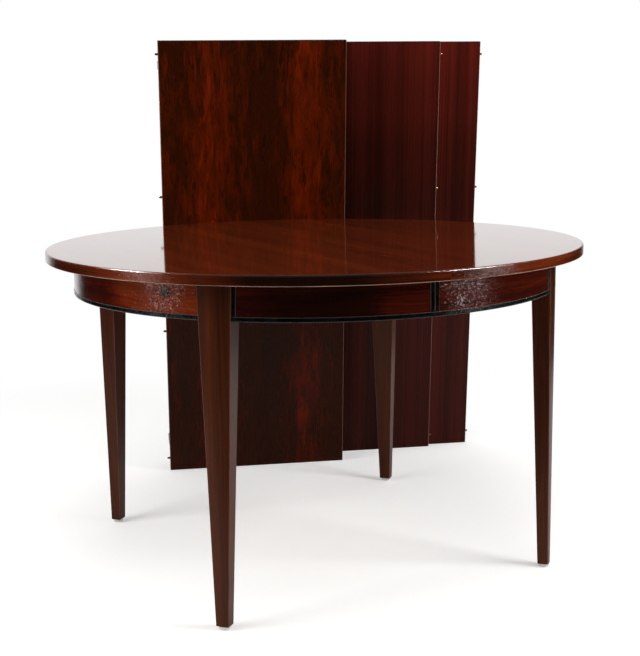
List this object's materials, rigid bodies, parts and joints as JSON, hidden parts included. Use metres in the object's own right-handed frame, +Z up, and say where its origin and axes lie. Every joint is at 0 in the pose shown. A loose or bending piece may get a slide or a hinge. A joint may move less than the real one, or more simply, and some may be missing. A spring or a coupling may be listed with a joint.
{
  "type": "extending dining table",
  "caption": "Round dark rosewood dining table on tapered legs that pulls apart on telescopic runners, with its loose leaves leaning behind it.",
  "frame": {"origin": "on the floor under the middle of the overall outline, table and leaves together; the table's own centre is at x -0.0961, y -0.1134", "axes": "+Z up; +X the way the right half lies from the seam, the left half pulls out along -X; -Y the front, the leaves lean at the back"},
  "size_m": [1.3921, 1.4268, 1.1944],
  "materials": {
    "rosewood_top": "high gloss lacquer",
    "rosewood_lipping": "gloss lacquer",
    "rosewood_apron": "gloss lacquer",
    "rosewood_leg": "satin lacquer",
    "rosewood_leaf": "satin lacquer",
    "ebonised_edging": "satin black",
    "beech": "matt",
    "brass": "satin",
    "steel": "zinc plated",
    "nylon": "matt"
  },
  "bodies": {
    "left_half": {"back_left_corner_block": "beech", "back_left_glide": "nylon", "back_left_leg": "rosewood_leg", "front_left_corner_block": "beech", "front_left_glide": "nylon", "front_left_leg": "rosewood_leg", "left_apron_edging": "ebonised_edging", "left_back_apron": "rosewood_apron", "left_back_runner": "beech", "left_edge_lipping": "rosewood_lipping", "left_end_apron": "rosewood_apron", "left_front_apron": "rosewood_apron", "left_front_runner": "beech", "left_glue_blocks": "beech", "left_leg_bolts": "steel", "left_leg_nuts": "steel", "left_runner_screws": "steel", "left_top_panel": "rosewood_top"},
    "right_half": {"back_right_corner_block": "beech", "back_right_glide": "nylon", "back_right_leg": "rosewood_leg", "front_right_corner_block": "beech", "front_right_glide": "nylon", "front_right_leg": "rosewood_leg", "right_apron_edging": "ebonised_edging", "right_back_apron": "rosewood_apron", "right_back_runner": "beech", "right_edge_lipping": "rosewood_lipping", "right_edge_pins": "brass", "right_end_apron": "rosewood_apron", "right_front_apron": "rosewood_apron", "right_front_runner": "beech", "right_glue_blocks": "beech", "right_leg_bolts": "steel", "right_leg_nuts": "steel", "right_runner_screws": "steel", "right_stop_pins": "steel", "right_top_panel": "rosewood_top"},
    "leaf_1": {"leaf_1_apron_edging": "ebonised_edging", "leaf_1_aprons": "rosewood_apron", "leaf_1_edge_pins": "brass", "leaf_1_end_lippings": "rosewood_lipping", "leaf_1_panel": "rosewood_leaf"},
    "leaf_2": {"leaf_2_edge_pins": "brass", "leaf_2_end_lippings": "rosewood_lipping", "leaf_2_panel": "rosewood_leaf"},
    "leaf_3": {"leaf_3_edge_pins": "brass", "leaf_3_end_lippings": "rosewood_lipping", "leaf_3_panel": "rosewood_leaf"},
    "runner_stage_1": {"stage_1_back_runner": "beech", "stage_1_crossbar": "beech", "stage_1_front_runner": "beech", "stage_1_runner_screws": "steel", "stage_1_stop_pins": "steel"},
    "runner_stage_2": {"stage_2_back_runner": "beech", "stage_2_crossbar": "beech", "stage_2_front_runner": "beech", "stage_2_runner_screws": "steel", "stage_2_stop_pins": "steel"}
  },
  "joints": [
    {"name": "stage_1_slide", "type": "slide", "parent": "right_half", "child": "runner_stage_1", "axis": [-1, 0, 0], "range_m": [0, 0.5]},
    {"name": "stage_2_slide", "type": "slide", "parent": "runner_stage_1", "child": "runner_stage_2", "axis": [-1, 0, 0], "range_m": [0, 0.5]},
    {"name": "left_half_slide", "type": "slide", "parent": "runner_stage_2", "child": "left_half", "axis": [-1, 0, 0], "range_m": [0, 0.5]},
    {"name": "leaf_1_slide", "type": "slide", "parent": "right_half", "child": "leaf_1", "axis": [-0.9617, 0.274, 0], "range_m": [0, 0.7]},
    {"name": "leaf_2_slide", "type": "slide", "parent": "right_half", "child": "leaf_2", "axis": [0.9617, -0.274, 0], "range_m": [0, 0.7]},
    {"name": "leaf_3_slide", "type": "slide", "parent": "right_half", "child": "leaf_3", "axis": [0.9617, -0.274, 0], "range_m": [0, 0.7]}
  ]
}
